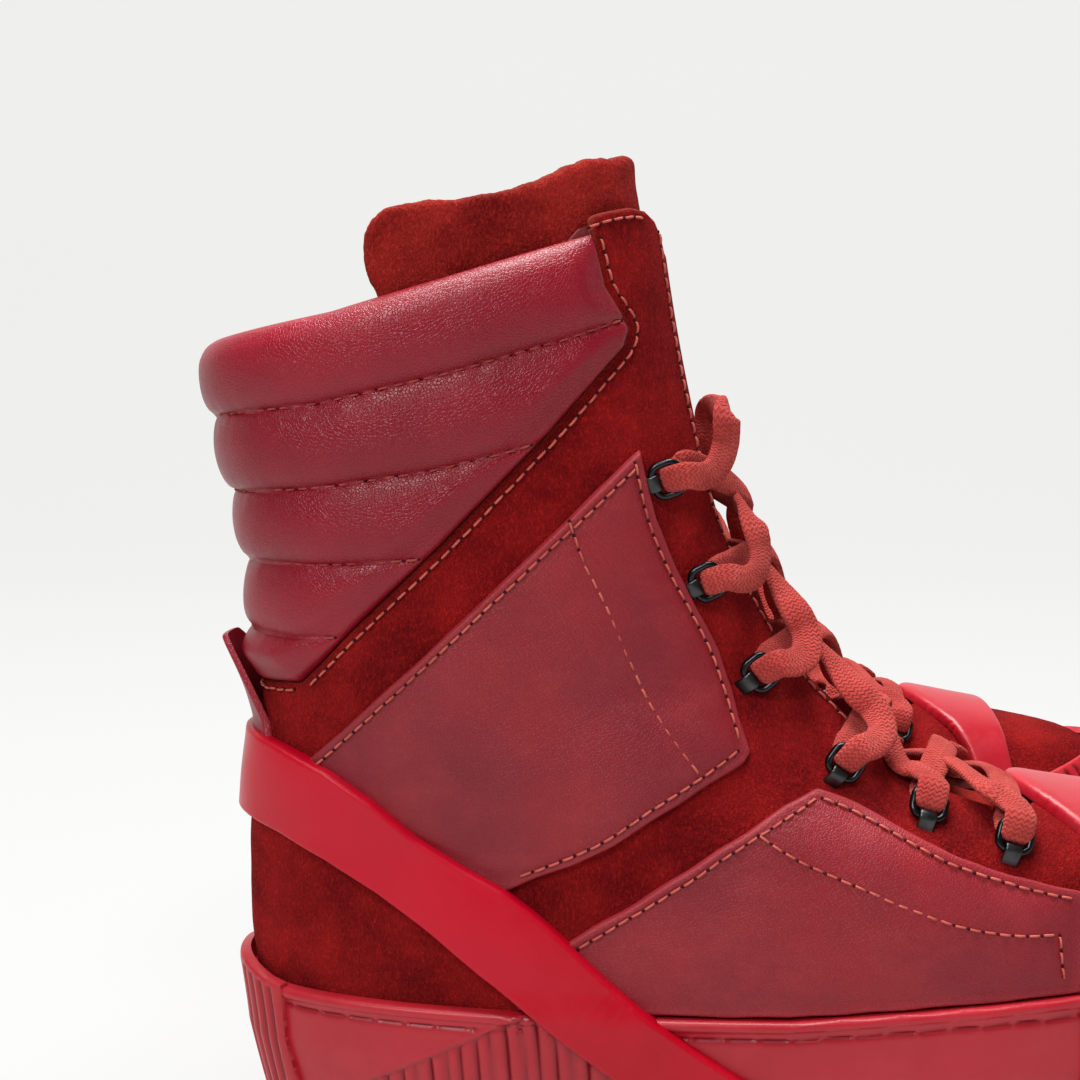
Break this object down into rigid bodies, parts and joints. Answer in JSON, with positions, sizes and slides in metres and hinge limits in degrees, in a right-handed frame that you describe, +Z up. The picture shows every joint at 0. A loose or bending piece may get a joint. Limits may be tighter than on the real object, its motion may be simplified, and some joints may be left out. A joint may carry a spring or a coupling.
{
  "type": "boxing boots",
  "caption": "Pair of tall laced boots with a quilted padded collar, suede and leather upper, metal lace rings, rubber heel strap and thick ribbed cup sole.",
  "frame": {"origin": "middle of the pair's footprint, on the ground", "axes": "+X towards the toes, +Y towards the left boot, +Z up"},
  "size_m": [0.3174, 0.2452, 0.275],
  "materials": {
    "rubber": "semi-gloss moulded red rubber",
    "suede": "matt napped suede",
    "collar_leather": "satin fine-grained leather",
    "panel_leather": "worn satin leather",
    "lining": "matt lining leather",
    "board": "fibre board",
    "footbed": "matt leather",
    "lace": "fuzzy cotton braid",
    "ring_metal": "black nickel plate"
  },
  "bodies": {
    "right_boot": {"right_cup_sole": "rubber", "right_heel_bumper": "rubber", "right_toe_bumper": "rubber", "right_heel_strap": "rubber", "right_forefoot_band": "rubber", "right_lasting_board": "board", "right_footbed": "footbed", "right_suede_upper": "suede", "right_quilted_collar": "collar_leather", "right_lining": "lining", "right_tongue": "suede", "right_ankle_panel_outer": "panel_leather", "right_ankle_panel_inner": "panel_leather", "right_side_panel_outer": "panel_leather", "right_side_panel_inner": "panel_leather", "right_lace": "lace"},
    "right_tongue_top": {"right_tongue_top": "suede"},
    "right_pull_tab": {"right_pull_tab": "collar_leather"},
    "right_ring_outer_1": {"right_ring_outer_1": "ring_metal"},
    "right_ring_outer_2": {"right_ring_outer_2": "ring_metal"},
    "right_ring_outer_3": {"right_ring_outer_3": "ring_metal"},
    "right_ring_outer_4": {"right_ring_outer_4": "ring_metal"},
    "right_ring_outer_5": {"right_ring_outer_5": "ring_metal"},
    "right_ring_outer_6": {"right_ring_outer_6": "ring_metal"},
    "right_ring_inner_1": {"right_ring_inner_1": "ring_metal"},
    "right_ring_inner_2": {"right_ring_inner_2": "ring_metal"},
    "right_ring_inner_3": {"right_ring_inner_3": "ring_metal"},
    "right_ring_inner_4": {"right_ring_inner_4": "ring_metal"},
    "right_ring_inner_5": {"right_ring_inner_5": "ring_metal"},
    "right_ring_inner_6": {"right_ring_inner_6": "ring_metal"},
    "left_boot": {"left_cup_sole": "rubber", "left_heel_bumper": "rubber", "left_toe_bumper": "rubber", "left_heel_strap": "rubber", "left_forefoot_band": "rubber", "left_lasting_board": "board", "left_footbed": "footbed", "left_suede_upper": "suede", "left_quilted_collar": "collar_leather", "left_lining": "lining", "left_tongue": "suede", "left_ankle_panel_outer": "panel_leather", "left_ankle_panel_inner": "panel_leather", "left_side_panel_outer": "panel_leather", "left_side_panel_inner": "panel_leather", "left_lace": "lace"},
    "left_tongue_top": {"left_tongue_top": "suede"},
    "left_pull_tab": {"left_pull_tab": "collar_leather"},
    "left_ring_outer_1": {"left_ring_outer_1": "ring_metal"},
    "left_ring_outer_2": {"left_ring_outer_2": "ring_metal"},
    "left_ring_outer_3": {"left_ring_outer_3": "ring_metal"},
    "left_ring_outer_4": {"left_ring_outer_4": "ring_metal"},
    "left_ring_outer_5": {"left_ring_outer_5": "ring_metal"},
    "left_ring_outer_6": {"left_ring_outer_6": "ring_metal"},
    "left_ring_inner_1": {"left_ring_inner_1": "ring_metal"},
    "left_ring_inner_2": {"left_ring_inner_2": "ring_metal"},
    "left_ring_inner_3": {"left_ring_inner_3": "ring_metal"},
    "left_ring_inner_4": {"left_ring_inner_4": "ring_metal"},
    "left_ring_inner_5": {"left_ring_inner_5": "ring_metal"},
    "left_ring_inner_6": {"left_ring_inner_6": "ring_metal"}
  },
  "joints": [
    {"name": "left_boot_lift", "type": "slide", "parent": "right_boot", "child": "left_boot", "axis": [0, 0, 1], "range_m": [0, 0.32]},
    {"name": "right_tongue_fold", "type": "hinge", "parent": "right_boot", "child": "right_tongue_top", "pos_m": [-0.03746, -0.071, 0.2632], "axis": [0, 1, 0], "range_deg": [0, 25], "stiffness_Nm_per_rad": 0.02},
    {"name": "right_pull_tab_flex", "type": "hinge", "parent": "right_boot", "child": "right_pull_tab", "pos_m": [-0.14426, -0.071, 0.118], "axis": [0, -1, 0], "range_deg": [0, 30], "stiffness_Nm_per_rad": 0.02},
    {"name": "right_ring_outer_1_swivel", "type": "hinge", "parent": "right_boot", "child": "right_ring_outer_1", "pos_m": [-0.03262, -0.09867, 0.18565], "axis": [0.3244, 0.091, -0.9415], "range_deg": [-6, 24], "deforming": ["right_lace"]},
    {"name": "right_ring_outer_2_swivel", "type": "hinge", "parent": "right_boot", "child": "right_ring_outer_2", "pos_m": [-0.02118, -0.09662, 0.1573], "axis": [0.423, 0.0403, -0.9052], "range_deg": [-6, 24]},
    {"name": "right_ring_outer_3_swivel", "type": "hinge", "parent": "right_boot", "child": "right_ring_outer_3", "pos_m": [-0.00578, -0.09588, 0.13156], "axis": [0.6154, -0.0144, -0.7881], "range_deg": [-6, 24]},
    {"name": "right_ring_outer_4_swivel", "type": "hinge", "parent": "right_boot", "child": "right_ring_outer_4", "pos_m": [0.0181, -0.09872, 0.10633], "axis": [0.8046, -0.0293, -0.5931], "range_deg": [-6, 24]},
    {"name": "right_ring_outer_5_swivel", "type": "hinge", "parent": "right_boot", "child": "right_ring_outer_5", "pos_m": [0.04184, -0.10232, 0.09534], "axis": [0.957, -0.0799, -0.2788], "range_deg": [-6, 24]},
    {"name": "right_ring_outer_6_swivel", "type": "hinge", "parent": "right_boot", "child": "right_ring_outer_6", "pos_m": [0.06381, -0.10692, 0.08751], "axis": [0.9533, -0.0298, -0.3004], "range_deg": [-6, 24]},
    {"name": "right_ring_inner_1_swivel", "type": "hinge", "parent": "right_boot", "child": "right_ring_inner_1", "pos_m": [-0.03262, -0.04333, 0.18565], "axis": [-0.3244, 0.091, 0.9415], "range_deg": [-6, 24]},
    {"name": "right_ring_inner_2_swivel", "type": "hinge", "parent": "right_boot", "child": "right_ring_inner_2", "pos_m": [-0.02118, -0.04538, 0.1573], "axis": [-0.423, 0.0403, 0.9052], "range_deg": [-6, 24]},
    {"name": "right_ring_inner_3_swivel", "type": "hinge", "parent": "right_boot", "child": "right_ring_inner_3", "pos_m": [-0.00578, -0.04612, 0.13156], "axis": [-0.6154, -0.0144, 0.7881], "range_deg": [-6, 24]},
    {"name": "right_ring_inner_4_swivel", "type": "hinge", "parent": "right_boot", "child": "right_ring_inner_4", "pos_m": [0.01808, -0.04314, 0.10634], "axis": [-0.8084, -0.0393, 0.5873], "range_deg": [-6, 24]},
    {"name": "right_ring_inner_5_swivel", "type": "hinge", "parent": "right_boot", "child": "right_ring_inner_5", "pos_m": [0.0418, -0.03873, 0.09534], "axis": [-0.9614, -0.097, 0.2576], "range_deg": [-6, 24]},
    {"name": "right_ring_inner_6_swivel", "type": "hinge", "parent": "right_boot", "child": "right_ring_inner_6", "pos_m": [0.06371, -0.03276, 0.08752], "axis": [-0.9608, -0.0758, 0.2668], "range_deg": [-6, 24]},
    {"name": "left_tongue_fold", "type": "hinge", "parent": "left_boot", "child": "left_tongue_top", "pos_m": [-0.03746, 0.071, 0.2632], "axis": [0, 1, 0], "range_deg": [0, 25], "stiffness_Nm_per_rad": 0.02},
    {"name": "left_pull_tab_flex", "type": "hinge", "parent": "left_boot", "child": "left_pull_tab", "pos_m": [-0.14426, 0.071, 0.118], "axis": [0, -1, 0], "range_deg": [0, 30], "stiffness_Nm_per_rad": 0.02},
    {"name": "left_ring_outer_1_swivel", "type": "hinge", "parent": "left_boot", "child": "left_ring_outer_1", "pos_m": [-0.03262, 0.09867, 0.18565], "axis": [-0.3244, 0.091, 0.9415], "range_deg": [-6, 24], "deforming": ["left_lace"]},
    {"name": "left_ring_outer_2_swivel", "type": "hinge", "parent": "left_boot", "child": "left_ring_outer_2", "pos_m": [-0.02118, 0.09662, 0.1573], "axis": [-0.423, 0.0403, 0.9052], "range_deg": [-6, 24]},
    {"name": "left_ring_outer_3_swivel", "type": "hinge", "parent": "left_boot", "child": "left_ring_outer_3", "pos_m": [-0.00578, 0.09588, 0.13156], "axis": [-0.6154, -0.0144, 0.7881], "range_deg": [-6, 24]},
    {"name": "left_ring_outer_4_swivel", "type": "hinge", "parent": "left_boot", "child": "left_ring_outer_4", "pos_m": [0.0181, 0.09872, 0.10633], "axis": [-0.8046, -0.0293, 0.5931], "range_deg": [-6, 24]},
    {"name": "left_ring_outer_5_swivel", "type": "hinge", "parent": "left_boot", "child": "left_ring_outer_5", "pos_m": [0.04184, 0.10232, 0.09534], "axis": [-0.957, -0.0799, 0.2788], "range_deg": [-6, 24]},
    {"name": "left_ring_outer_6_swivel", "type": "hinge", "parent": "left_boot", "child": "left_ring_outer_6", "pos_m": [0.06381, 0.10692, 0.08751], "axis": [-0.9533, -0.0298, 0.3004], "range_deg": [-6, 24]},
    {"name": "left_ring_inner_1_swivel", "type": "hinge", "parent": "left_boot", "child": "left_ring_inner_1", "pos_m": [-0.03262, 0.04333, 0.18565], "axis": [0.3244, 0.091, -0.9415], "range_deg": [-6, 24]},
    {"name": "left_ring_inner_2_swivel", "type": "hinge", "parent": "left_boot", "child": "left_ring_inner_2", "pos_m": [-0.02118, 0.04538, 0.1573], "axis": [0.423, 0.0403, -0.9052], "range_deg": [-6, 24]},
    {"name": "left_ring_inner_3_swivel", "type": "hinge", "parent": "left_boot", "child": "left_ring_inner_3", "pos_m": [-0.00578, 0.04612, 0.13156], "axis": [0.6154, -0.0144, -0.7881], "range_deg": [-6, 24]},
    {"name": "left_ring_inner_4_swivel", "type": "hinge", "parent": "left_boot", "child": "left_ring_inner_4", "pos_m": [0.01808, 0.04314, 0.10634], "axis": [0.8084, -0.0393, -0.5873], "range_deg": [-6, 24]},
    {"name": "left_ring_inner_5_swivel", "type": "hinge", "parent": "left_boot", "child": "left_ring_inner_5", "pos_m": [0.0418, 0.03873, 0.09534], "axis": [0.9614, -0.097, -0.2576], "range_deg": [-6, 24]},
    {"name": "left_ring_inner_6_swivel", "type": "hinge", "parent": "left_boot", "child": "left_ring_inner_6", "pos_m": [0.06371, 0.03276, 0.08752], "axis": [0.9608, -0.0758, -0.2668], "range_deg": [-6, 24]}
  ]
}
